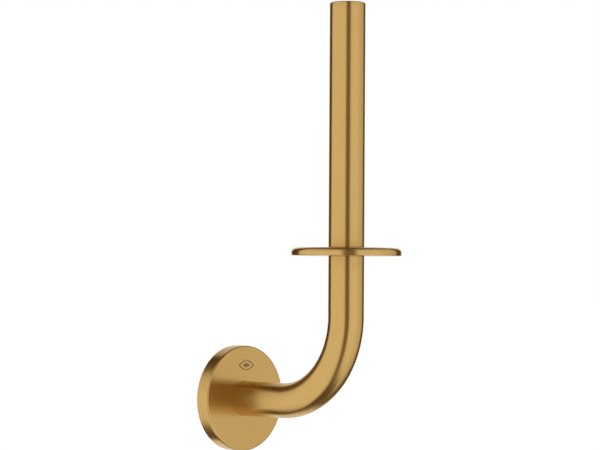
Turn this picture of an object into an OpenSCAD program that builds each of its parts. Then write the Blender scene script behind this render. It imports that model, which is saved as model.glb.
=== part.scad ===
// Upright toilet roll holder for a wall: a round rosette clamped on a wall bracket, a bent tube
// arm, a round roll plate and a post. Millimetres. The wall is the plane y = 0 and the origin is
// the rosette's centre on it. The arm leaves the wall along -Y, and the post stands along +Z.

/* [Rosette] */
// Outside diameter of the rosette
rosette_d = 55; // [54:0.5:64]
// Height of the rosette's front face above the wall
rosette_h = 7.8; // [7.6:0.1:10]
// Thickness of the rosette's front wall
rosette_face_t = 2.2; // [1.8:0.1:2.4]
// Thickness of the rosette's skirt
rosette_skirt_t = 3; // [2.6:0.1:3.4]
// Rounding of the rosette's front edge
rosette_edge_r = 1; // [0.4:0.1:1.4]

/* [Wall bracket] */
// Distance between the two wall screws
wall_screw_spacing = 30; // [30:0.5:32]
// Diameter of the wall screw holes
wall_screw_hole_d = 4.5; // [4:0.1:5]
// Thickness of the bracket's plate
bracket_plate_t = 2.2; // [2:0.1:2.4]
// Thickness of the bracket's rim
bracket_rim_t = 2.5; // [2.2:0.1:3]

/* [Tube] */
// Outside diameter of the arm and of the post
tube_d = 18; // [17:0.5:20]
// Wall thickness of both tubes
tube_wall = 1.5; // [1.2:0.1:1.8]
// Distance of the post's axis from the wall
reach = 79.5; // [72:0.5:100]
// Radius of the arm's bend, at its centreline
bend_r = 44; // [30:0.5:48]

/* [Roll plate] */
// Diameter of the roll plate
plate_d = 55.5; // [50:0.5:80]
// Thickness of the roll plate
plate_t = 4; // [3.2:0.1:6]
// Rounding of the plate's upper edge
plate_edge_r = 2.2; // [0.5:0.1:2.6]
// Height of the plate's underside above the arm's axis
plate_z = 74.3; // [70:0.1:90]

/* [Post] */
// Height of the post's top above the arm's axis
post_top_z = 201.5; // [150:0.5:240]
// Height of the end cap's visible edge
cap_t = 1.6; // [1.2:0.1:3]
// Rounding of the end cap's upper edge
cap_edge_r = 0.7; // [0.3:0.1:1.1]

/* [Fasteners] */
// Diameter of the screw that holds the arm on the rosette
root_screw_d = 5; // [4:0.5:5]
// Length of that screw under its head
root_screw_l = 16; // [14:1:18]
// Diameter of the stud that joins the arm, the plate and the post
stud_d = 8; // [6:1:8]
// Length of that stud
stud_l = 26; // [22:1:28]
// Diameter of the set screw in the rosette's skirt
set_screw_d = 4; // [3:0.5:4]
// Length of the set screw
set_screw_l = 4; // [4:0.1:4.2]

/* [Hidden] */

brass = [0.80, 0.66, 0.41];
raw_brass = [0.71, 0.60, 0.33];
zinc_plate = [0.72, 0.73, 0.74];
screw_steel = [0.62, 0.63, 0.65];

rounds = 96;
over = 1;
slide_gap = 0.1;
thread_gap = 0.05;
solder_gap = 0.05;

rosette_r = rosette_d / 2;
bore_r = rosette_r - rosette_skirt_t;
cavity_h = rosette_h - rosette_face_t;
skirt_lead_in = 0.6;
boss_r = 11;
boss_h = 1;
boss_back_h = cavity_h - boss_h;

tube_r = tube_d / 2;
tube_bore_r = tube_r - tube_wall;
seat_depth = 0.5;
seat_h = rosette_h - seat_depth;
seat_r = tube_r + solder_gap;

bracket_r = bore_r - slide_gap;
bracket_flat_cut = 1;
bracket_flat_z = bracket_r - bracket_flat_cut;
bracket_front_gap = 0.6;
bracket_h = cavity_h - bracket_front_gap;
bracket_chamfer = 0.5;
bracket_hub_r = 10;
bracket_hole_r = 8.4;
bracket_hub_h = 3.4;
bracket_rib_t = 2;
bracket_pad_r = 4.9;
bracket_pad_h = 0.5;
bracket_relief = 0.6;

set_screw_margin = 0.1;
set_screw_y = bracket_h - set_screw_d / 2 - set_screw_margin;
set_screw_r = set_screw_d / 2 - thread_gap;
set_screw_tip_z = bracket_flat_z + thread_gap;
set_screw_hex = set_screw_d / 2;
set_screw_hex_depth = 2;
set_screw_bevel = 0.4;
set_screw_cup_r = 0.95;
set_screw_cup_floor_r = 0.2;
set_screw_cup_depth = 0.6;
set_screw_cup_slope = (set_screw_cup_r - set_screw_cup_floor_r) / set_screw_cup_depth;

root_screw_r = root_screw_d / 2;
root_hole_gap = 0.15;
root_hole_r = root_screw_r + root_hole_gap;
root_head_r = 4.6;
root_head_h = 2.6;
root_head_hex = 3;
root_head_hex_depth = 1.6;
root_head_dome_r = 6.2;
root_plug_l = 17;
root_plug_hole_l = 14.5;

washer_r = 4.5;
washer_t = 1.2;
washer_split = 0.9;
washer_split_tilt = 25;

pin_r = 1;
pin_l = 7;
pin_bevel = 0.2;
pin_z = 5.4;
pin_start_h = 6.1;

joint_plug_l = 16;
joint_bevel = 0.5;
stud_r = stud_d / 2;
stud_z = plate_z + plate_t / 2 - stud_l / 2;
stud_hex = 4;
stud_hex_depth = 5;
stud_bevel = 0.8;

plate_r = plate_d / 2;
plate_under_r = 0.4;
plate_top_z = plate_z + plate_t;
plate_boss_h = 0.4;
arm_end_z = plate_z - plate_boss_h;
post_start_z = plate_top_z + plate_boss_h;
spigot_l = 7;
spigot_bevel = 0.8;

// Turns what is built upwards from the wall so that it points into the room
module from_wall() {
    rotate([90, 0, 0]) children();
}

// Moves what is built round the Z axis to the post's axis
module at_post() {
    translate([0, -reach, 0]) children();
}

// A ring between two radii, round the Z axis
module ring(outer_r, inner_r, h) {
    difference() {
        cylinder(r = outer_r, h = h, $fn = rounds);
        translate([0, 0, -over]) cylinder(r = inner_r, h = h + 2 * over, $fn = rounds);
    }
}

// A solid rod with both ends bevelled
module bevelled_rod(r, h, bevel) {
    rotate_extrude($fn = rounds)
        polygon([[0, 0], [r - bevel, 0], [r, bevel], [r, h - bevel], [r - bevel, h], [0, h]]);
}

// Half of a round disc's section, with its upper outer edge rounded
module eased_section(r, h, edge_r) {
    intersection() {
        square([r, h]);
        union() {
            square([r - edge_r, h]);
            square([r, h - edge_r]);
            translate([r - edge_r, h - edge_r]) circle(r = edge_r, $fn = rounds);
        }
    }
}

// A hexagonal socket, from its mouth down
module hex_socket(across_flats, depth) {
    translate([0, 0, -depth])
        cylinder(r = across_flats / sqrt(3), h = depth + over, $fn = 6);
}

// The plate that is screwed to the wall: its rim carries the rosette
module wall_bracket() {
    color(zinc_plate) from_wall() difference() {
        union() {
            cylinder(r = bracket_r, h = bracket_plate_t, $fn = rounds);
            rotate_extrude($fn = rounds)
                polygon([[bracket_r - bracket_rim_t, 0], [bracket_r, 0],
                         [bracket_r, bracket_h - bracket_chamfer],
                         [bracket_r - bracket_chamfer, bracket_h],
                         [bracket_r - bracket_rim_t, bracket_h]]);
            cylinder(r = bracket_hub_r, h = bracket_hub_h, $fn = rounds);
            for (side = [0, 180]) rotate([0, 0, side])
                translate([bracket_hole_r + over / 2, -bracket_rib_t / 2, 0])
                    cube([bracket_r - bracket_rim_t - bracket_hole_r, bracket_rib_t, bracket_hub_h]);
            for (side = [-1, 1]) translate([0, side * wall_screw_spacing / 2, 0])
                cylinder(r = bracket_pad_r, h = bracket_plate_t + bracket_pad_h, $fn = rounds);
        }
        translate([0, 0, -over])
            cylinder(r = bracket_hole_r, h = bracket_h + 2 * over, $fn = rounds);
        for (side = [-1, 1]) translate([0, side * wall_screw_spacing / 2, -over])
            cylinder(d = wall_screw_hole_d, h = bracket_h + 2 * over, $fn = rounds);
        translate([-bracket_r, -bracket_flat_z - bracket_r, -over])
            cube([2 * bracket_r, bracket_r, bracket_h + 2 * over]);
        bracket_back_relief();
    }
}

// Shallow relief in the bracket's back, so that it bears on its rim, hub and screw pads
module bracket_back_relief() {
    difference() {
        translate([0, 0, -over])
            ring(bracket_r - bracket_rim_t, bracket_hub_r, bracket_relief + over);
        for (side = [-1, 1]) translate([0, side * wall_screw_spacing / 2, -2 * over])
            cylinder(r = bracket_pad_r, h = bracket_relief + 3 * over, $fn = rounds);
    }
}

// The rosette: a turned cup that hides the bracket and carries the arm
module escutcheon() {
    color(brass) from_wall() difference() {
        union() {
            rotate_extrude($fn = rounds) difference() {
                eased_section(rosette_r, rosette_h, rosette_edge_r);
                translate([-over, -over]) square([bore_r + over, cavity_h + over]);
                polygon([[bore_r - over, -over], [bore_r + skirt_lead_in + over, -over],
                         [bore_r - over, skirt_lead_in + over]]);
            }
            translate([0, 0, boss_back_h]) cylinder(r = boss_r, h = boss_h + over, $fn = rounds);
        }
        translate([0, 0, seat_h]) cylinder(r = seat_r, h = over, $fn = rounds);
        cylinder(r = root_hole_r, h = rosette_h, $fn = rounds);
        translate([0, pin_z, pin_start_h]) cylinder(r = pin_r + solder_gap, h = rosette_h, $fn = rounds);
        translate([0, -bore_r + over, set_screw_y]) rotate([90, 0, 0])
            cylinder(d = set_screw_d, h = rosette_skirt_t + 2 * over, $fn = rounds);
    }
}

// Hex-socket set screw with a cup point, driven from below against the bracket's flat
module set_screw() {
    color(screw_steel) translate([0, -set_screw_y, -set_screw_tip_z]) rotate([180, 0, 0]) difference() {
        bevelled_rod(set_screw_r, set_screw_l, set_screw_bevel);
        translate([0, 0, set_screw_l]) hex_socket(set_screw_hex, set_screw_hex_depth);
        translate([0, 0, -over])
            cylinder(r1 = set_screw_cup_r + set_screw_cup_slope * over, r2 = set_screw_cup_floor_r,
                     h = set_screw_cup_depth + over, $fn = rounds);
    }
}

// Low-head screw that draws the arm on to the rosette from behind
module arm_root_screw() {
    head_z = boss_back_h - washer_t;
    color(screw_steel) from_wall() translate([0, 0, head_z]) difference() {
        union() {
            bevelled_rod(root_screw_r, root_screw_l, joint_bevel);
            rotate([180, 0, 0]) rotate_extrude($fn = rounds) intersection() {
                square([root_head_r, root_head_h]);
                translate([0, root_head_h - root_head_dome_r]) circle(r = root_head_dome_r, $fn = rounds);
            }
        }
        translate([0, 0, -root_head_h]) rotate([180, 0, 0])
            hex_socket(root_head_hex, root_head_hex_depth);
    }
}

// Split spring washer under the head of that screw
module arm_root_washer() {
    color(screw_steel) from_wall() translate([0, 0, boss_back_h - washer_t]) difference() {
        ring(washer_r, root_hole_r, washer_t);
        translate([0, root_screw_r, washer_t / 2]) rotate([0, washer_split_tilt, 0])
            translate([-washer_split / 2, 0, -washer_r])
                cube([washer_split, washer_r, 2 * washer_r]);
    }
}

// Dowel that keeps the arm from turning on the rosette
module arm_locating_pin() {
    color(screw_steel) from_wall() translate([0, pin_z, pin_start_h])
        bevelled_rod(pin_r, pin_l, pin_bevel);
}

// Threaded plug soldered into the wall end of the arm
module arm_root_plug() {
    color(raw_brass) from_wall() translate([0, 0, seat_h]) difference() {
        bevelled_rod(tube_bore_r - solder_gap, root_plug_l, joint_bevel);
        translate([0, 0, -over])
            cylinder(r = root_screw_r + thread_gap, h = root_plug_hole_l + over, $fn = rounds);
        translate([0, pin_z, -over]) cylinder(r = pin_r + solder_gap, h = pin_l + over, $fn = rounds);
    }
}

// The tube's run from the rosette, round the bend and up to the roll plate
module arm_run(r, extra) {
    wall_run = reach - bend_r - seat_h;
    post_run = arm_end_z - bend_r;
    from_wall() translate([0, 0, seat_h - extra]) cylinder(r = r, h = wall_run + extra, $fn = rounds);
    translate([0, -reach + bend_r, bend_r]) rotate([0, 0, 90]) rotate([90, 0, 0])
        rotate([0, 0, 180]) rotate_extrude(angle = 90, $fn = rounds)
            translate([bend_r, 0]) circle(r = r, $fn = rounds);
    at_post() translate([0, 0, bend_r]) cylinder(r = r, h = post_run + extra, $fn = rounds);
}

// Bent tube arm
module arm_tube() {
    color(brass) difference() {
        arm_run(tube_r, 0);
        arm_run(tube_bore_r, over);
    }
}

// Threaded plug soldered into a tube's end, round the post's axis
module joint_plug(z) {
    color(raw_brass) at_post() translate([0, 0, z]) difference() {
        bevelled_rod(tube_bore_r - solder_gap, joint_plug_l, joint_bevel);
        translate([0, 0, -over])
            cylinder(r = stud_r + thread_gap, h = joint_plug_l + 2 * over, $fn = rounds);
    }
}

// Plug in the arm's upper end
module arm_top_plug() {
    joint_plug(arm_end_z - joint_plug_l);
}

// Plug in the post's lower end
module post_base_plug() {
    joint_plug(post_start_z);
}

// Headless stud that draws the post down on the plate and the arm
module post_stud() {
    color(screw_steel) at_post() translate([0, 0, stud_z]) difference() {
        bevelled_rod(stud_r, stud_l, stud_bevel);
        translate([0, 0, stud_l]) hex_socket(stud_hex, stud_hex_depth);
    }
}

// Round plate that the roll stands on, with a low boss under each tube's end
module roll_plate() {
    color(brass) at_post() translate([0, 0, plate_z]) rotate_extrude($fn = rounds) difference() {
        union() {
            eased_section(plate_r, plate_t, plate_edge_r);
            translate([0, -plate_boss_h]) square([seat_r, plate_t + 2 * plate_boss_h]);
        }
        translate([-over, -over]) square([stud_r + slide_gap + over, plate_t + 2 * over]);
        polygon([[plate_r - plate_under_r - over, -over], [plate_r + over, -over],
                 [plate_r + over, plate_under_r + over]]);
    }
}

// Straight tube that the roll turns on
module post_tube() {
    color(brass) at_post() translate([0, 0, post_start_z])
        ring(tube_r, tube_bore_r, post_top_z - cap_t - post_start_z);
}

// End cap with a spigot in the post's bore
module post_cap() {
    color(brass) at_post() translate([0, 0, post_top_z - cap_t]) union() {
        rotate_extrude($fn = rounds) eased_section(tube_r, cap_t, cap_edge_r);
        translate([0, 0, -spigot_l])
            bevelled_rod(tube_bore_r - solder_gap, spigot_l + cap_t / 2, spigot_bevel);
    }
}

wall_bracket();
escutcheon();
set_screw();
arm_root_screw();
arm_root_washer();
arm_locating_pin();
arm_root_plug();
arm_tube();
arm_top_plug();
post_stud();
roll_plate();
post_base_plug();
post_tube();
post_cap();
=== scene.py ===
# Upright toilet roll holder in satin brushed brass: rosette, bent arm, roll plate and post.
# Metres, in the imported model's own frame: the wall is y = 0, the holder comes out along -Y.
import math

import bmesh
import bpy
from mathutils import Matrix, Vector


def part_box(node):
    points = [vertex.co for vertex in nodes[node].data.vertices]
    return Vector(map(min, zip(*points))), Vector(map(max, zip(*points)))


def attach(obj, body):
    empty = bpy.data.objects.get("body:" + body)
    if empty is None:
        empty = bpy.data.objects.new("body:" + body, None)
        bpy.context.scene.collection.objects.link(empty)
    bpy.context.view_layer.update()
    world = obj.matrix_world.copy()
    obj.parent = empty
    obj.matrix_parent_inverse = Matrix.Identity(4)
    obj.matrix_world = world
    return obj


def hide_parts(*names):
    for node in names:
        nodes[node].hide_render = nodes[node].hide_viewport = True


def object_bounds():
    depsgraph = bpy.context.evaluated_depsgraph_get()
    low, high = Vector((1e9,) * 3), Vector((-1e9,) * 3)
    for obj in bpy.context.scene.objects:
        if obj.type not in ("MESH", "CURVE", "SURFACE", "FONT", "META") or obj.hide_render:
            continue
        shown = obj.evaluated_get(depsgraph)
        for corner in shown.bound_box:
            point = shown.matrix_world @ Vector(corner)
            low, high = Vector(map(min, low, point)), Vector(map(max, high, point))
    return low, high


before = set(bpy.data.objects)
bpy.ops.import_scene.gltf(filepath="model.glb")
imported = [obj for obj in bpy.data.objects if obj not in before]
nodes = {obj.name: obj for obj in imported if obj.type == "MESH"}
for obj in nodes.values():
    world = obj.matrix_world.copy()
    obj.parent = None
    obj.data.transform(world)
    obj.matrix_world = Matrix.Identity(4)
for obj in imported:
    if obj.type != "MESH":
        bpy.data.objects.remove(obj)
cadLow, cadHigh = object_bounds()
mm = 0.001
print("frame loaded:", len(nodes), "nodes")


def objectFrom(bm, name, material=None):
    mesh = bpy.data.meshes.new(name)
    bm.to_mesh(mesh)
    bm.free()
    if material:
        mesh.materials.append(material)
    made = bpy.data.objects.new(name, mesh)
    bpy.context.scene.collection.objects.link(made)
    return made


# camera
cameraLook = {
    "aim": (0, -0.040, 0.080),   # the point that the camera is set out from
    "distance": 1.100,
    "azimuth": -45.389,
    "elevation": -0.89,
    "heading": -45.647,          # degrees round Z
    "lookUp": 1.427,
    "roll": 0.348,
    "lens": 128.45,
    "sensor": 36,
}


def addCamera(look):
    data = bpy.data.cameras.new("studioCamera")
    data.lens = look["lens"]
    data.sensor_width = look["sensor"]
    data.clip_start = 0.01
    data.clip_end = 100
    camera = bpy.data.objects.new("studioCamera", data)
    bpy.context.scene.collection.objects.link(camera)
    azimuth, elevation = math.radians(look["azimuth"]), math.radians(look["elevation"])
    out = Vector((
        math.sin(azimuth) * math.cos(elevation),
        -math.cos(azimuth) * math.cos(elevation),
        math.sin(elevation),
    ))
    turn = (
        Matrix.Rotation(math.radians(look["heading"]), 4, "Z")
        @ Matrix.Rotation(math.radians(90 + look["lookUp"]), 4, "X")
        @ Matrix.Rotation(math.radians(look["roll"]), 4, "Z")
    )
    camera.matrix_world = Matrix.Translation(Vector(look["aim"]) + out * look["distance"]) @ turn
    bpy.context.scene.camera = camera


addCamera(cameraLook)


# node wiring
def addNode(tree, kind, settings=None, **inputs):
    # inputs are given by their socket name without spaces, or as in0, in1 where names repeat
    node = tree.nodes.new(kind)
    for key, value in (settings or {}).items():
        setattr(node, key, value)
    for key, value in inputs.items():
        if key[:2] == "in" and key[2:].isdigit():
            socket = node.inputs[int(key[2:])]
        else:
            socket = next(s for s in node.inputs if s.name.replace(" ", "") == key)
        if isinstance(value, bpy.types.NodeSocket):
            tree.links.new(value, socket)
        else:
            socket.default_value = value
    return node


def mathNode(tree, operation, first, second=0.0, third=0.0):
    made = addNode(tree, "ShaderNodeMath", {"operation": operation}, in0=first, in1=second, in2=third)
    return made.outputs[0]


def rangeNode(tree, value, low, high, toLow, toHigh, smooth=False):
    made = addNode(
        tree, "ShaderNodeMapRange", {"interpolation_type": "SMOOTHSTEP" if smooth else "LINEAR"},
        in0=value, in1=low, in2=high, in3=toLow, in4=toHigh,
    )
    return made.outputs[0]


def rampNode(tree, value, stops, interpolation="LINEAR"):
    # stops are (place 0..1, grey or colour)
    node = addNode(tree, "ShaderNodeValToRGB", in0=value)
    ramp = node.color_ramp
    ramp.interpolation = interpolation
    while len(ramp.elements) > 1:
        ramp.elements.remove(ramp.elements[-1])
    for i, (place, tone) in enumerate(stops):
        element = ramp.elements[0] if i == 0 else ramp.elements.new(place)
        element.position = place
        element.color = (tone, tone, tone, 1) if isinstance(tone, (int, float)) else (*tone, 1)
    return node.outputs["Color"]


def mixNode(tree, factor, first, second):
    made = addNode(tree, "ShaderNodeMix", {"data_type": "RGBA", "blend_type": "MIX"})
    for socket, value in ((made.inputs[0], factor), (made.inputs[6], first), (made.inputs[7], second)):
        if isinstance(value, bpy.types.NodeSocket):
            tree.links.new(value, socket)
        else:
            socket.default_value = value if isinstance(value, (int, float)) else (*value, 1)
    return made.outputs[2]


def newMaterial(name):
    mat = bpy.data.materials.new(name)
    mat.use_nodes = True
    return mat, mat.node_tree, mat.node_tree.nodes["Principled BSDF"]


def objectPlace(tree):
    return addNode(tree, "ShaderNodeTexCoord").outputs["Object"]


def attributeNode(tree, name, output):
    return addNode(tree, "ShaderNodeAttribute", {"attribute_name": name}).outputs[output]


def noiseNode(tree, place, noise):
    return addNode(tree, "ShaderNodeTexNoise", Vector=place, **noise).outputs[0]


def stretched(tree, place, scale, turn=(0.0, 0.0, 0.0)):
    return addNode(tree, "ShaderNodeMapping", in0=place, Scale=scale, Rotation=turn).outputs[0]


# studio: two tall softboxes at the sides of the camera and a wide white wall behind the part, with dark
# gaps between them. All angles are in degrees. Azimuth 0 is straight out of the wall, 90 is to the right
# of someone facing it.
studioLook = {
    # (azimuth, strength) of the two softboxes, at the part's own height
    "ring": (
        (-168, 0.0), (-160, 1.0), (-58, 1.0), (-50, 0.13), (-30, 0.13), (-22, 1.0),
        (22, 1.0), (42, 0.83), (56, 0.81), (66, 0.72), (76, 0.66), (84, 0.0),
    ),
    "overhead": ((0, 1.0), (25, 0.88), (50, 0.4), (75, 0.08), (90, 0.0)),    # (elevation, strength)
    "footEdge": -67.7,           # elevation where the softboxes end below
    "footTilt": 6.5,             # they end this much higher on the right
    "footTiltTowards": 50,
    "footSoft": 6,
    "spreadFrom": 48,            # this far down, the right softbox starts to lean to the right
    "spread": 1.8,
    "spreadAcross": (0, 84),     # full lean up to the first azimuth, none from the second
    "gapMiddle": -40,            # the lean stops at the middle of the dark gap
    "farLean": 11,               # the left softbox's far end draws in above and below
    "farFrom": -100,
    "steepAt": 45,               # elevation where the far end and the wall reach their full change
    "backMiddle": 134.6,
    "backHalf": 21,              # half width of the white wall at the part's own height
    "backHalfHigh": 32,          # and well above or below it
    "backTrim": 17,              # but its near side is cut back by this much low down
    "backFoot": (-82, -52),      # the wall fades to nothing between these elevations
    "backSoft": 3,
    "dark": (0.120, 0.066, 0.018),
    "bright": (1.0, 0.985, 0.965),
    "backdrop": (1.0, 1.0, 1.0),
    "floorDrop": 0.095,          # the floor lies this far under the part
    "floorSize": 40,
    "floorTones": ((0.80, 0.80, 0.80), (0.84, 0.84, 0.84)),
    "floorGrain": {"Scale": 900.0, "Detail": 3.0},
    "floorGlow": 0.70,           # keeps the paper as white as the backdrop
}


def buildStudio(look):
    world = bpy.data.worlds.new("studio")
    bpy.context.scene.world = world
    world.use_nodes = True
    tree = world.node_tree
    tree.nodes.clear()
    direction = addNode(tree, "ShaderNodeTexCoord").outputs["Generated"]
    parts = addNode(tree, "ShaderNodeSeparateXYZ", in0=direction)
    x, y, z = parts.outputs
    azimuth = mathNode(tree, "DEGREES", mathNode(tree, "ARCTAN2", x, mathNode(tree, "MULTIPLY", y, -1.0)))
    elevation = mathNode(tree, "DEGREES", mathNode(tree, "ARCSINE", z))

    # the two softboxes
    below = mathNode(tree, "MULTIPLY_ADD", elevation, -1.0, -look["spreadFrom"])
    below = mathNode(tree, "MAXIMUM", below, 0.0)
    spreadFull, spreadNone = look["spreadAcross"]
    share = rangeNode(tree, azimuth, spreadFull, spreadNone, look["spread"], 0.0)
    leant = mathNode(tree, "SUBTRACT", azimuth, mathNode(tree, "MULTIPLY", below, share))
    leant = mathNode(tree, "MAXIMUM", leant, mathNode(tree, "MINIMUM", azimuth, look["gapMiddle"]))
    steepness = mathNode(tree, "ABSOLUTE", elevation)
    farLean = rangeNode(tree, steepness, 0.0, look["steepAt"], 0.0, look["farLean"])
    farLean = mathNode(tree, "MULTIPLY", farLean, mathNode(tree, "LESS_THAN", azimuth, look["farFrom"]))
    leant = mathNode(tree, "SUBTRACT", leant, farLean)
    aroundAt = rangeNode(tree, leant, -180.0, 180.0, 0.0, 1.0)
    around = rampNode(tree, aroundAt, [((a + 180) / 360, level) for a, level in look["ring"]], "EASE")

    # the white wall behind, wider high up and low down
    offBack = mathNode(tree, "WRAP", mathNode(tree, "SUBTRACT", azimuth, look["backMiddle"]), 180.0, -180.0)
    nearSide = mathNode(tree, "LESS_THAN", offBack, 0.0)
    trim = rangeNode(tree, elevation, -look["steepAt"], 0.0, look["backTrim"], 0.0)
    trim = mathNode(tree, "MULTIPLY", trim, nearSide)
    halfWide = rangeNode(tree, steepness, 0.0, look["steepAt"], look["backHalf"], look["backHalfHigh"])
    halfWide = mathNode(tree, "SUBTRACT", halfWide, trim)
    soft = look["backSoft"]
    pastEdge = mathNode(tree, "SUBTRACT", mathNode(tree, "ABSOLUTE", offBack), halfWide)
    back = rangeNode(tree, pastEdge, -soft, soft, 1.0, 0.0, True)
    backLow, backFull = look["backFoot"]
    back = mathNode(tree, "MULTIPLY", back, rangeNode(tree, elevation, backLow, backFull, 0.0, 1.0, True))

    # how they fade out above and below
    overheadAt = rangeNode(tree, elevation, 0.0, 90.0, 0.0, 1.0)
    overhead = rampNode(tree, overheadAt, [(e / 90, level) for e, level in look["overhead"]], "EASE")
    turned = mathNode(tree, "RADIANS", mathNode(tree, "SUBTRACT", azimuth, look["footTiltTowards"]))
    tilt = mathNode(tree, "COSINE", turned)
    edge = mathNode(tree, "MULTIPLY_ADD", tilt, look["footTilt"], look["footEdge"])
    aboveEdge = mathNode(tree, "SUBTRACT", elevation, edge)
    foot = rangeNode(tree, aboveEdge, -look["footSoft"], look["footSoft"], 0.0, 1.0, True)
    level = mathNode(tree, "MAXIMUM", around, back)
    level = mathNode(tree, "MULTIPLY", mathNode(tree, "MULTIPLY", level, overhead), foot)
    light = mixNode(tree, level, look["dark"], look["bright"])
    seen = addNode(tree, "ShaderNodeLightPath").outputs["Is Camera Ray"]
    shown = mixNode(tree, seen, light, look["backdrop"])
    background = addNode(tree, "ShaderNodeBackground", Color=shown, Strength=1.0)
    out = addNode(tree, "ShaderNodeOutputWorld")
    tree.links.new(background.outputs[0], out.inputs[0])

    scene = bpy.context.scene
    scene.view_settings.view_transform = "Standard"
    scene.view_settings.look = "None"
    scene.view_settings.exposure = 0
    scene.view_settings.gamma = 1


def addFloor(look):
    # one quad, paper white, seen only by the camera
    bm = bmesh.new()
    half = look["floorSize"] / 2
    height = cadLow.z - look["floorDrop"]
    ends = ((-half, -half), (half, -half), (half, half), (-half, half))
    bm.faces.new([bm.verts.new((across, along, height)) for across, along in ends])
    floor = objectFrom(bm, "floor")
    floor.visible_glossy = False
    floor.visible_diffuse = False
    floor.visible_shadow = False
    paper, tree, shader = newMaterial("floorPaper")
    grain = noiseNode(tree, objectPlace(tree), look["floorGrain"])
    tree.links.new(mixNode(tree, grain, *look["floorTones"]), shader.inputs["Base Color"])
    shader.inputs["Roughness"].default_value = 1.0
    shader.inputs["Specular IOR Level"].default_value = 0.0
    shader.inputs["Emission Color"].default_value = (1, 1, 1, 1)
    shader.inputs["Emission Strength"].default_value = look["floorGlow"]
    floor.data.materials.append(paper)


buildStudio(studioLook)
addFloor(studioLook)
print("camera and studio ready")


# materials
def dressMetal(tree, shader, look, colour, rough, relief):
    # what every metal here shares
    tree.links.new(colour, shader.inputs["Base Color"])
    tree.links.new(rough, shader.inputs["Roughness"])
    bump = addNode(tree, "ShaderNodeBump", Strength=look["bump"], Distance=look["bumpDepth"], Height=relief)
    tree.links.new(bump.outputs[0], shader.inputs["Normal"])
    shader.inputs["Metallic"].default_value = 1.0


noiseLow, noiseHigh = 0.3, 0.7    # nearly all of a noise texture lies between these

brassLook = {
    "pale": (0.650, 0.430, 0.150),
    "deep": (0.600, 0.388, 0.130),
    "worn": (0.72, 0.52, 0.23),
    "wornShare": (0.15, 0.8),          # how much of an edge is worn, in the darkest and lightest cloud
    "wornClouds": (0.40, 0.62),
    "wornPolish": -0.05,
    "roughness": (0.225, 0.275),
    "roughTones": (0.32, 0.68),
    "anisotropy": 0.7,                 # wider across the brushed lines than along them
    "lineStretch": (220, 220, 9000),   # brushed lines run round each turned or drawn piece
    "lineNoise": {"Scale": 1.0, "Detail": 4.0, "Roughness": 0.6},
    "bandStretch": (30, 30, 900),
    "bandNoise": {"Scale": 1.0, "Detail": 3.0, "Roughness": 0.55},
    "cloudNoise": {"Scale": 60.0, "Detail": 3.0},
    "lineShare": 0.45,                 # shares of the three in the tone
    "bandShare": 0.35,
    "cloudShare": 0.20,
    "scratchStretch": (90, 2600, 2600),
    "scratchTurn": (0.5, 0.9, 0.3),
    "scratchNoise": {"Scale": 1.0, "Detail": 2.0, "Distortion": 0.4},
    "scratchFrom": (0.70, 0.76),       # only the top of the noise makes a hairline
    "scratchRough": 0.03,
    "scratchDepth": -0.12,
    "bandRelief": 0.4,
    "bump": 0.14,
    "bumpDepth": 0.00001,
}


def brushedBrass(look):
    mat, tree, shader = newMaterial("brushedBrass")
    space = attributeNode(tree, "brushSpace", "Vector")
    lines = noiseNode(tree, stretched(tree, space, look["lineStretch"]), look["lineNoise"])
    bands = noiseNode(tree, stretched(tree, space, look["bandStretch"]), look["bandNoise"])
    place = objectPlace(tree)
    clouds = noiseNode(tree, place, look["cloudNoise"])
    scratchPlace = stretched(tree, place, look["scratchStretch"], look["scratchTurn"])
    scratches = noiseNode(tree, scratchPlace, look["scratchNoise"])
    hairline = rangeNode(tree, scratches, *look["scratchFrom"], 0.0, 1.0)
    worn = attributeNode(tree, "edgeWear", "Fac")
    wornShare = rangeNode(tree, clouds, *look["wornClouds"], *look["wornShare"])
    wornHere = mathNode(tree, "MULTIPLY", worn, wornShare)

    tone = mathNode(tree, "MULTIPLY", lines, look["lineShare"])
    tone = mathNode(tree, "MULTIPLY_ADD", bands, look["bandShare"], tone)
    tone = mathNode(tree, "MULTIPLY_ADD", clouds, look["cloudShare"], tone)
    colour = rampNode(tree, tone, [(noiseLow, look["deep"]), (noiseHigh, look["pale"])])
    colour = mixNode(tree, wornHere, colour, look["worn"])

    rough = rangeNode(tree, tone, *look["roughTones"], *look["roughness"])
    rough = mathNode(tree, "MULTIPLY_ADD", hairline, look["scratchRough"], rough)
    rough = mathNode(tree, "MULTIPLY_ADD", wornHere, look["wornPolish"], rough)

    relief = mathNode(tree, "MULTIPLY_ADD", bands, look["bandRelief"], lines)
    relief = mathNode(tree, "MULTIPLY_ADD", hairline, look["scratchDepth"], relief)
    dressMetal(tree, shader, look, colour, rough, relief)
    along = addNode(tree, "ShaderNodeTangent", {"direction_type": "UV_MAP", "uv_map": "brushUv"})
    tree.links.new(along.outputs[0], shader.inputs["Tangent"])
    shader.inputs["Anisotropic"].default_value = look["anisotropy"]
    return mat


turnedLook = {
    "pale": (0.62, 0.47, 0.20),
    "deep": (0.47, 0.33, 0.12),
    "tarnish": (0.30, 0.19, 0.075),
    "tarnishClouds": (0.52, 0.70),
    "tarnishShare": 0.7,
    "roughness": (0.24, 0.44),
    "markStretch": (300, 300, 6000),
    "markNoise": {"Scale": 1.0, "Detail": 3.0},
    "cloudNoise": {"Scale": 220.0, "Detail": 4.0},
    "bump": 0.35,
    "bumpDepth": 0.00002,
}


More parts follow.
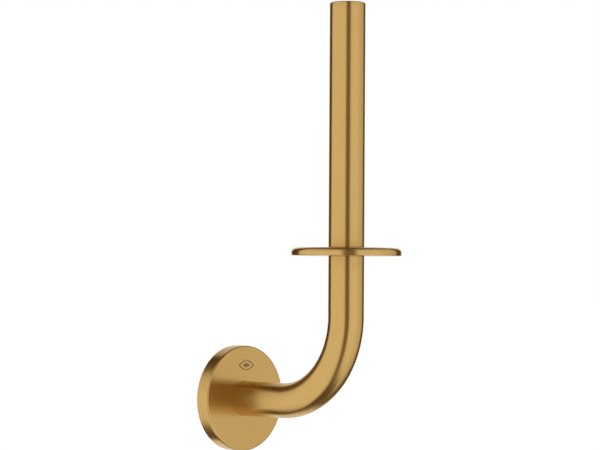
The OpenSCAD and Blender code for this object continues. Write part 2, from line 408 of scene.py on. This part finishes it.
def turnedBrass(look):
    # bare plugs: fine lathe marks, and a little tarnish from soldering
    mat, tree, shader = newMaterial("turnedBrass")
    place = objectPlace(tree)
    marks = noiseNode(tree, stretched(tree, place, look["markStretch"]), look["markNoise"])
    clouds = noiseNode(tree, place, look["cloudNoise"])
    colour = rampNode(tree, marks, [(noiseLow, look["deep"]), (noiseHigh, look["pale"])])
    tarnished = rangeNode(tree, clouds, *look["tarnishClouds"], 0.0, look["tarnishShare"])
    colour = mixNode(tree, tarnished, colour, look["tarnish"])
    rough = rangeNode(tree, clouds, noiseLow, noiseHigh, *look["roughness"])
    dressMetal(tree, shader, look, colour, rough, marks)
    return mat


zincLook = {
    "pale": (0.66, 0.68, 0.70),
    "blue": (0.50, 0.55, 0.61),
    "yellow": (0.62, 0.60, 0.50),
    "tints": (0.32, 0.50, 0.68),       # where in the clouds blue, pale and yellow lie
    "stain": (0.40, 0.41, 0.42),
    "stainFrom": (0.58, 0.72),
    "stainShare": 0.25,
    "roughness": (0.27, 0.44),
    "cloudNoise": {"Scale": 70.0, "Detail": 4.0, "Distortion": 0.6},
    "stainNoise": {"Scale": 150.0, "Detail": 5.0},
    "grainNoise": {"Scale": 2600.0, "Detail": 3.0},
    "bump": 0.3,
    "bumpDepth": 0.00003,
}


def platedZinc(look):
    # cast bracket with a clear zinc plating: faint blue and yellow clouds over a grainy skin
    mat, tree, shader = newMaterial("platedZinc")
    place = objectPlace(tree)
    clouds = noiseNode(tree, place, look["cloudNoise"])
    stains = noiseNode(tree, place, look["stainNoise"])
    grain = noiseNode(tree, place, look["grainNoise"])
    colour = rampNode(tree, clouds, list(zip(look["tints"], (look["blue"], look["pale"], look["yellow"]))))
    stained = rangeNode(tree, stains, *look["stainFrom"], 0.0, look["stainShare"])
    colour = mixNode(tree, stained, colour, look["stain"])
    rough = rangeNode(tree, grain, noiseLow, noiseHigh, *look["roughness"])
    dressMetal(tree, shader, look, colour, rough, grain)
    return mat


steelLook = {
    "pale": (0.60, 0.60, 0.61),
    "deep": (0.42, 0.42, 0.43),
    "tones": (0.32, 0.66),
    "roughness": (0.20, 0.34),
    "markNoise": {"Scale": 3200.0, "Detail": 4.0},
    "cloudNoise": {"Scale": 300.0, "Detail": 3.0},
    "bump": 0.25,
    "bumpDepth": 0.00001,
}


def stainlessSteel(look):
    mat, tree, shader = newMaterial("stainlessSteel")
    place = objectPlace(tree)
    marks = noiseNode(tree, place, look["markNoise"])
    clouds = noiseNode(tree, place, look["cloudNoise"])
    colour = rampNode(tree, clouds, list(zip(look["tones"], (look["deep"], look["pale"]))))
    rough = rangeNode(tree, marks, noiseLow, noiseHigh, *look["roughness"])
    dressMetal(tree, shader, look, colour, rough, marks)
    return mat


etchLook = {
    "pale": (0.36, 0.235, 0.105),
    "deep": (0.24, 0.150, 0.062),
    "tones": (0.35, 0.65),
    "roughness": (0.40, 0.58),
    "grainNoise": {"Scale": 5200.0, "Detail": 3.0},
    "bump": 0.4,
    "bumpDepth": 0.00002,
}


def etchedBrass(look):
    mat, tree, shader = newMaterial("etchedBrass")
    grain = noiseNode(tree, objectPlace(tree), look["grainNoise"])
    colour = rampNode(tree, grain, list(zip(look["tones"], (look["deep"], look["pale"]))))
    rough = rangeNode(tree, grain, noiseLow, noiseHigh, *look["roughness"])
    dressMetal(tree, shader, look, colour, rough, grain)
    return mat


brass = brushedBrass(brassLook)
bareBrass = turnedBrass(turnedLook)
zinc = platedZinc(zincLook)
steel = stainlessSteel(steelLook)
etched = etchedBrass(etchLook)
print("materials ready")


# mesh tools
sharpAngle = math.radians(38)     # edges steeper than this stay crisp
shadingWeight = 60                # how far large faces rule the shading at an edge
weldDistance = 1e-7
closingLength = 0.001             # the last strip of a closed section, metres


def turnsOf(around):
    return [2 * math.pi * k / around for k in range(around)]


def ringOf(radii, turns, height):
    # one closed ring of points round local Z, from sizes in mm
    return [(r * mm * math.cos(t), r * mm * math.sin(t), height * mm) for r, t in zip(radii, turns)]


def bandOf(bm, low, high):
    for k in range(len(low)):
        n = (k + 1) % len(low)
        bm.faces.new((low[k], low[n], high[n], high[k]))


def rounded(corners, steps):
    # a section's outline from (r, h, edge radius) corners, all in mm, with tangent arcs at the corners
    points, worn = [], []
    count = len(corners)
    for i, (r, h, edge) in enumerate(corners):
        if edge <= 0:
            points.append((r, h))
            worn.append(0.0)
            continue
        here = Vector((r, h))
        before = (Vector(corners[i - 1][:2]) - here).normalized()
        after = (Vector(corners[(i + 1) % count][:2]) - here).normalized()
        half = before.angle(after) / 2
        reach = edge / math.tan(half)
        centre = here + (before + after).normalized() * (edge / math.sin(half))
        start, end = here + before * reach - centre, here + after * reach - centre
        sweep = math.atan2(start.cross(end), start.dot(end))
        for k in range(steps + 1):
            turn = Matrix.Rotation(sweep * k / steps, 2)
            points.append(tuple(centre + turn @ start))
            worn.append(math.sin(math.pi * k / steps))
    return points, worn


def gridPiece(name, rings, wears, lengths, closedRound, place, material, body, replaced):
    # rings: one list of points for each step along the section, all of the same count round the piece.
    # lengths: how far along the section each ring lies, in metres. A closed section joins last to first.
    # The UV map runs along the section in u and round the piece in v, for the direction of the shine.
    bm = bmesh.new()
    uvLayer = bm.loops.layers.uv.new("brushUv")
    spaceLayer = bm.verts.layers.float_vector.new("brushSpace")
    wearLayer = bm.verts.layers.float.new("edgeWear")
    around = len(rings[0])
    turns = turnsOf(around)
    made = []
    radius = max(Vector(p[:2]).length for ring in rings for p in ring)
    for ring, wear, length in zip(rings, wears, lengths):
        row = []
        for point, turn in zip(ring, turns):
            vert = bm.verts.new(place @ Vector(point))
            vert[spaceLayer] = (radius * math.cos(turn), radius * math.sin(turn), length)
            vert[wearLayer] = wear
            row.append(vert)
        made.append(row)
    last = len(made) if closedRound else len(made) - 1
    for i in range(last):
        low, high = made[i], made[(i + 1) % len(made)]
        lowU = lengths[i]
        highU = lengths[i + 1] if i + 1 < len(lengths) else lowU + closingLength
        for k in range(around):
            n = (k + 1) % around
            face = bm.faces.new((low[k], low[n], high[n], high[k]))
            for loop, step, u in zip(face.loops, (k, k + 1, k + 1, k), (lowU, lowU, highU, highU)):
                loop[uvLayer].uv = (u, step / around * 2 * math.pi * radius)
    bmesh.ops.remove_doubles(bm, verts=bm.verts, dist=weldDistance)
    bmesh.ops.recalc_face_normals(bm, faces=bm.faces)
    piece = objectFrom(bm, name, material)
    piece.data.shade_smooth()
    piece.data.set_sharp_from_angle(angle=sharpAngle)
    finishPiece(piece, body, replaced)
    return piece


def finishPiece(piece, body, replaced):
    weighted = piece.modifiers.new("evenShading", "WEIGHTED_NORMAL")
    weighted.keep_sharp = True
    weighted.weight = shadingWeight
    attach(piece, body)
    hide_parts(*replaced)


def sectionLengths(points):
    # running length along an outline, in metres, from points in mm
    total, lengths = 0.0, []
    for i, point in enumerate(points):
        if i:
            total += (Vector(point) - Vector(points[i - 1])).length * mm
        lengths.append(total)
    return lengths


def lathe(name, corners, place, material, body, replaced, around, steps):
    # turned piece: corners are (radius, height, edge radius) in mm, walked round the closed section,
    # and steps is how many facets each rounded edge has
    points, worn = rounded(corners, steps)
    turns = turnsOf(around)
    rings = [ringOf([r] * around, turns, h) for r, h in points]
    return gridPiece(name, rings, worn, sectionLengths(points), True, place, material, body, replaced)


fromWall = Matrix.Rotation(math.radians(90), 4, "X")     # local up becomes -Y, out of the wall
postLow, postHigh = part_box("post_tube")
postAxis = (postLow + postHigh) / 2
atPost = Matrix.Translation((postAxis.x, postAxis.y, 0))


def sizes(node):
    low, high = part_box(node)
    return low / mm, high / mm


# rosette
# all sizes from here on are in mm
rosetteLook = {
    "edge": 1.0,          # rounding of the front edge
    "backEdge": 0.25,
    "skirt": 3.0,
    "cavity": 5.6,
    "bossRadius": 11,
    "bossBack": 4.6,
    "seatRadius": 9.05,
    "seatDepth": 0.5,
    "seatEdge": 0.06,
    "rootHole": 2.65,
    "bossEdge": 0.2,
    "cavityEdge": 0.4,
    "leadIn": 0.6,
    "screwHole": 2.0,
    "screwMouth": 1.3,    # the drill widens over this length at its far end
    "drillBefore": 1.5,   # the drill starts this far inside the skirt
    "drillPast": 0.7,     # and ends this far outside it
    "around": 192,
    "edgeSteps": 6,
    "drillAround": 48,
}


def cutterRod(radius, fromZ, toZ, mouth, around, place):
    # closed rod for drilling, with a wider mouth at its far end
    bm = bmesh.new()
    turns = turnsOf(around)
    rows = []
    for r, z in ((radius, fromZ), (radius, toZ - mouth), (radius + mouth, toZ)):
        rows.append([bm.verts.new(place @ Vector(point)) for point in ringOf([r] * around, turns, z)])
    for low, high in zip(rows, rows[1:]):
        bandOf(bm, low, high)
    bm.faces.new(list(reversed(rows[0])))
    bm.faces.new(rows[-1])
    bmesh.ops.recalc_face_normals(bm, faces=bm.faces)
    cutter = objectFrom(bm, "cutter")
    cutter.data.shade_smooth()
    return cutter


def drill(piece, cutter):
    cut = piece.modifiers.new("drill", "BOOLEAN")
    cut.operation = "DIFFERENCE"
    cut.solver = "EXACT"
    cut.object = cutter
    bpy.context.view_layer.objects.active = piece
    piece.modifiers.move(piece.modifiers.find("drill"), 0)
    bpy.ops.object.modifier_apply(modifier="drill")
    bpy.data.objects.remove(cutter)
    piece.data.set_sharp_from_angle(angle=sharpAngle)


def buildRosette(look):
    low, high = sizes("escutcheon")
    radius, height = high.x, -low.y
    bore = radius - look["skirt"]
    seat = height - look["seatDepth"]
    corners = [
        (bore + look["leadIn"], 0, 0),
        (radius, 0, look["backEdge"]),
        (radius, height, look["edge"]),
        (look["seatRadius"], height, look["seatEdge"]),
        (look["seatRadius"], seat, 0),
        (look["rootHole"], seat, 0),
        (look["rootHole"], look["bossBack"], look["bossEdge"]),
        (look["bossRadius"], look["bossBack"], look["bossEdge"]),
        (look["bossRadius"], look["cavity"], look["bossEdge"]),
        (bore, look["cavity"], look["cavityEdge"]),
        (bore, look["leadIn"], 0),
    ]
    rosette = lathe(
        "rosette", corners, fromWall, brass, "holder", ["escutcheon"],
        look["around"], look["edgeSteps"],
    )
    screwLow, screwHigh = sizes("set_screw")
    across = (screwLow.y + screwHigh.y) / 2
    downwards = Matrix.Translation((0, across * mm, 0)) @ Matrix.Rotation(math.pi, 4, "X")
    drill(rosette, cutterRod(
        look["screwHole"], bore - look["drillBefore"], radius + look["drillPast"], look["screwMouth"],
        look["drillAround"], downwards,
    ))


buildRosette(rosetteLook)
print("rosette ready")


# arm
armLook = {
    "radius": 9.0,
    "wall": 1.5,
    "bend": 44.0,
    "endBevel": 0.12,
    "innerStep": 3,         # length counted for each ring inside the tube
    "around": 128,
    "bendSteps": 72,
    "runSteps": 10,         # for each straight end
}


def armStations(look):
    # (middle of the tube, direction towards the bend's centre, length so far), from rosette to plate
    _, high = sizes("arm_tube")
    reach = -postAxis.y / mm
    bend, start, top = look["bend"], -high.y, high.z
    stations = []
    for i in range(look["runSteps"]):
        out = start + (reach - bend - start) * i / look["runSteps"]
        stations.append((Vector((0, -out, 0)), Vector((0, 0, 1)), out - start))
    bendStart = reach - bend - start
    for i in range(look["bendSteps"] + 1):
        turn = math.pi / 2 * i / look["bendSteps"]
        centre = Vector((0, -(reach - bend) - bend * math.sin(turn), bend - bend * math.cos(turn)))
        inward = Vector((0, math.sin(turn), math.cos(turn)))
        stations.append((centre, inward, bendStart + bend * turn))
    bendEnd = bendStart + bend * math.pi / 2
    for i in range(1, look["runSteps"] + 1):
        height = bend + (top - bend) * i / look["runSteps"]
        stations.append((Vector((0, -reach, height)), Vector((0, 1, 0)), bendEnd + height - bend))
    return stations


def buildArm(look):
    stations = armStations(look)
    turns = turnsOf(look["around"])
    outer, inner, bevel = look["radius"], look["radius"] - look["wall"], look["endBevel"]
    side = Vector((1, 0, 0))

    def ring(station, radius, slide=0.0):
        centre, inward, _ = station
        at = centre + inward.cross(side) * slide
        return [tuple((at + (side * math.cos(t) + inward * math.sin(t)) * radius) * mm) for t in turns]

    rings = [ring(stations[0], outer - bevel)]
    lengths = [0.0]
    wears = [1.0]
    firstAhead = stations[0][1].cross(side)
    forward = 1 if firstAhead.dot(stations[1][0] - stations[0][0]) > 0 else -1
    for i, station in enumerate(stations):
        slide = forward * bevel if i == 0 else (-forward * bevel if i == len(stations) - 1 else 0.0)
        rings.append(ring(station, outer, slide))
        lengths.append(station[2] * mm + bevel * mm)
        wears.append(1.0 if i in (0, len(stations) - 1) else 0.0)
    rings.append(ring(stations[-1], outer - bevel))
    lengths.append(stations[-1][2] * mm + 2 * bevel * mm)
    wears.append(1.0)
    for station in reversed(stations):
        rings.append(ring(station, inner))
        lengths.append(lengths[-1] + look["innerStep"] * mm)
        wears.append(0.0)
    gridPiece(
        "armTube", rings, wears, lengths, True, Matrix.Identity(4),
        brass, "holder", ["arm_tube"],
    )


buildArm(armLook)
print("arm ready")


# roll plate
plateLook = {
    "thickness": 4.0,
    "edge": 2.2,
    "underEdge": 0.4,
    "bossRadius": 9.05,
    "bossEdge": 0.08,
    "studHole": 4.1,
    "holeEdge": 0.1,
    "around": 192,
    "edgeSteps": 8,
}


def buildPlate(look):
    low, high = sizes("roll_plate")
    radius = high.x
    boss = (high.z - low.z - look["thickness"]) / 2
    under, over = low.z + boss, high.z - boss
    stud, holeEdge = look["studHole"], look["holeEdge"]
    rim, bossEdge = look["bossRadius"], look["bossEdge"]
    corners = [
        (stud, low.z, holeEdge),
        (rim, low.z, bossEdge),
        (rim, under, holeEdge),
        (radius, under, look["underEdge"]),
        (radius, over, look["edge"]),
        (rim, over, holeEdge),
        (rim, high.z, bossEdge),
        (stud, high.z, holeEdge),
    ]
    lathe(
        "rollPlate", corners, atPost, brass, "holder", ["roll_plate"],
        look["around"], look["edgeSteps"],
    )


buildPlate(plateLook)


# post and its cap
postLook = {
    "wall": 1.5,
    "endBevel": 0.12,
    "capEdge": 0.7,
    "capLip": 0.08,
    "capCrown": 0.12,
    "crownAt": 0.55,         # share of the radius where the crown has dropped by a quarter
    "crownDrop": 0.25,
    "spigotGap": 0.05,
    "spigotBevel": 0.8,
    "rings": 24,
    "around": 128,
    "endSteps": 3,
    "capSteps": 8,
}


def buildPost(look):
    low, high = sizes("post_tube")
    outer = high.x
    inner = outer - look["wall"]
    between = [(outer, low.z + (high.z - low.z) * i / look["rings"], 0) for i in range(1, look["rings"])]
    corners = [(inner, low.z, 0), (outer, low.z, look["endBevel"])] + between + [
        (outer, high.z, look["endBevel"]), (inner, high.z, 0)]
    lathe(
        "postTube", corners, atPost, brass, "holder", ["post_tube"],
        look["around"], look["endSteps"],
    )


def buildCap(look):
    low, high = sizes("post_cap")
    _, tubeHigh = sizes("post_tube")
    outer, spigot = high.x, high.x - look["wall"] - look["spigotGap"]
    crown = high.z
    corners = [
        (0.0, low.z, 0),
        (spigot, low.z, look["spigotBevel"]),
        (spigot, tubeHigh.z, 0),
        (outer, tubeHigh.z, look["capLip"]),
        (outer, crown - look["capCrown"], look["capEdge"]),
        (outer * look["crownAt"], crown - look["capCrown"] * look["crownDrop"], 0),
        (0.0, crown, 0),
    ]
    lathe(
        "postCap", corners, atPost, brass, "holder", ["post_cap"],
        look["around"], look["capSteps"],
    )


buildPost(postLook)
buildCap(postLook)
print("plate, post and cap ready")


# screws
threadLook = {
    "depth": 0.42,          # share of the pitch
    "flank": 1.25,          # steepness of the tooth's sides
    "crest": 0.12,          # more makes its flat top wider
    "runIn": 0.4,           # the thread starts at this share of the bevel
    "tipInset": 0.25,       # the flat tip lies this far inside the bevel
    "cupDepth": 0.6,        # cup point: depth, inner and outer rim, as shares of its radius
    "cupInner": 0.98,
    "cupOuter": 1.08,
    "cupLip": 0.05,
    "mouth": 0.12,          # funnel at the socket's mouth
    "socketCone": 0.35,     # cone left by the drill below the socket
    "ringLength": 0.0001,   # metres
}

setScrewLook = {
    "around": 60, "radius": 1.95, "pitch": 0.7, "length": 4.0, "bevel": 0.4, "perTurn": 14,
    "cup": 1.15, "hex": 2.0, "hexDepth": 2.0,
}
rootScrewLook = {
    "around": 72, "radius": 2.5, "pitch": 0.8, "length": 16.0, "bevel": 0.5, "perTurn": 12,
    "head": ((4.4, 0.0), (4.6, 0.2), (4.6, 1.3), (4.25, 2.21), (3.7, 2.6)),    # (radius, height)
    "hex": 3.0, "hexDepth": 1.6,
}
studLook = {
    "around": 72, "radius": 4.0, "pitch": 1.25, "length": 26.0, "bevel": 0.8, "perTurn": 14,
    "hex": 4.0, "hexDepth": 5.0,
}


def hexRadius(flats, turn):
    # distance from the middle to a hexagon's edge in the direction of turn
    step = math.pi / 3
    return flats / 2 / math.cos((turn % step) - step / 2)


def threadedPiece(name, look, place, body, replaced):
    # one solid: threaded shank, optional head, hex socket in its top. Local Z runs up to the socket.
    turns = turnsOf(look["around"])
    radius, pitch, length, bevel = look["radius"], look["pitch"], look["length"], look["bevel"]
    depth = pitch * threadLook["depth"]
    rings = []

    def addRing(radiusAt, height):
        rings.append(ringOf([radiusAt(t) for t in turns], turns, height))

    def addRound(size, height):
        addRing(lambda t: size, height)

    tip = look.get("cup", 0)
    if tip:
        addRound(0.0, tip * threadLook["cupDepth"])
        addRound(tip * threadLook["cupInner"], threadLook["cupLip"])
        addRound(tip * threadLook["cupOuter"], 0.0)
    else:
        addRound(0.0, 0.0)
        addRound(radius - bevel - threadLook["tipInset"], 0.0)

    count = int(length / pitch * look["perTurn"])
    runIn = bevel * threadLook["runIn"]
    for i in range(count + 1):
        height = runIn + (length - 2 * runIn) * i / count
        edge = min(height, length - height) / bevel
        limit = radius - bevel * max(0.0, 1 - edge)

        def thread(t, height=height, limit=limit):
            phase = (height / pitch - t / (2 * math.pi)) % 1
            tooth = abs(2 * phase - 1) * threadLook["flank"] - threadLook["crest"]
            return min(limit, radius - depth * min(1.0, max(0.0, tooth)))

        addRing(thread, height)

    top = length
    for headRadius, headHeight in look.get("head", ()):
        addRound(headRadius, length + headHeight)
        top = length + headHeight
    socket = look["hex"]
    floor = top - look["hexDepth"]
    addRound(socket / math.sqrt(3) + threadLook["mouth"], top)
    addRing(lambda t: hexRadius(socket, t), top - threadLook["mouth"])
    addRing(lambda t: hexRadius(socket, t), floor)
    addRound(0.0, floor - threadLook["socketCone"])
    wears = [0.0] * len(rings)
    lengths = [i * threadLook["ringLength"] for i in range(len(rings))]
    gridPiece(name, rings, wears, lengths, False, place, steel, body, replaced)


def buildScrews():
    low, high = sizes("set_screw")
    middle = (low.y + high.y) / 2 * mm
    down = Matrix.Translation((0, middle, high.z * mm)) @ Matrix.Rotation(math.pi, 4, "X")
    threadedPiece("setScrew", setScrewLook, down, "grub_screw", ["set_screw"])
    low, _ = sizes("arm_root_screw")
    into = Matrix.Translation((0, low.y * mm, 0)) @ Matrix.Rotation(math.radians(-90), 4, "X")
    threadedPiece("rootScrew", rootScrewLook, into, "holder", ["arm_root_screw"])
    low, _ = sizes("post_stud")
    up = Matrix.Translation((postAxis.x, postAxis.y, low.z * mm))
    threadedPiece("postStud", studLook, up, "holder", ["post_stud"])


buildScrews()
print("screws ready")


# etched mark on the rosette
markLook = {
    "centre": (0.5, 17.3),     # x and z on the rosette's face
    "halfWide": 5.6,
    "halfHigh": 2.9,
    "line": 0.55,
    "sideLine": 1.9,           # the outline is this much wider at its two side points
    "depth": 0.10,
    "proud": 0.015,
    "coreWide": 2.6,
    "coreHigh": 1.1,
    "pinch": 1.55,             # 1 would be an ellipse, 2 a straight-sided diamond
    "around": 40,
}


def lozenge(look, wide, high):
    # soft-cornered diamond
    points = []
    for t in turnsOf(look["around"]):
        c, s = math.cos(t), math.sin(t)
        across = math.copysign(abs(c) ** look["pinch"], c) * wide
        points.append((across, math.copysign(abs(s) ** look["pinch"], s) * high))
    return points


def buildMark(look):
    face = sizes("escutcheon")[0].y
    cx, cz = look["centre"]
    top, bottom = face - look["proud"], face + look["depth"]
    bm = bmesh.new()

    def row(points, y):
        return [bm.verts.new(((cx + px) * mm, y * mm, (cz + pz) * mm)) for px, pz in points]

    line = look["line"]
    outer = lozenge(look, look["halfWide"], look["halfHigh"])
    inner = lozenge(look, look["halfWide"] - line * look["sideLine"], look["halfHigh"] - line)
    rows = [row(outer, top), row(inner, top), row(inner, bottom), row(outer, bottom)]
    for first, second in zip(rows, rows[1:] + rows[:1]):
        bandOf(bm, first, second)
    core = lozenge(look, look["coreWide"], look["coreHigh"])
    upper, lower = row(core, top), row(core, bottom)
    bandOf(bm, upper, lower)
    bm.faces.new(upper)
    bm.faces.new(list(reversed(lower)))
    bmesh.ops.recalc_face_normals(bm, faces=bm.faces)
    mark = objectFrom(bm, "rosetteMark", etched)
    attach(mark, "holder")


buildMark(markLook)


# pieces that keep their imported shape
keptShapes = {
    "wall_bracket": zinc,
    "arm_root_washer": steel,
    "arm_locating_pin": steel,
    "arm_root_plug": bareBrass,
    "arm_top_plug": bareBrass,
    "post_base_plug": bareBrass,
}

for name, material in keptShapes.items():
    node = nodes[name]
    for materialSlot in node.material_slots:
        materialSlot.material = material
    if not node.material_slots:
        node.data.materials.append(material)
print("bracket, washer, pin and plugs dressed")
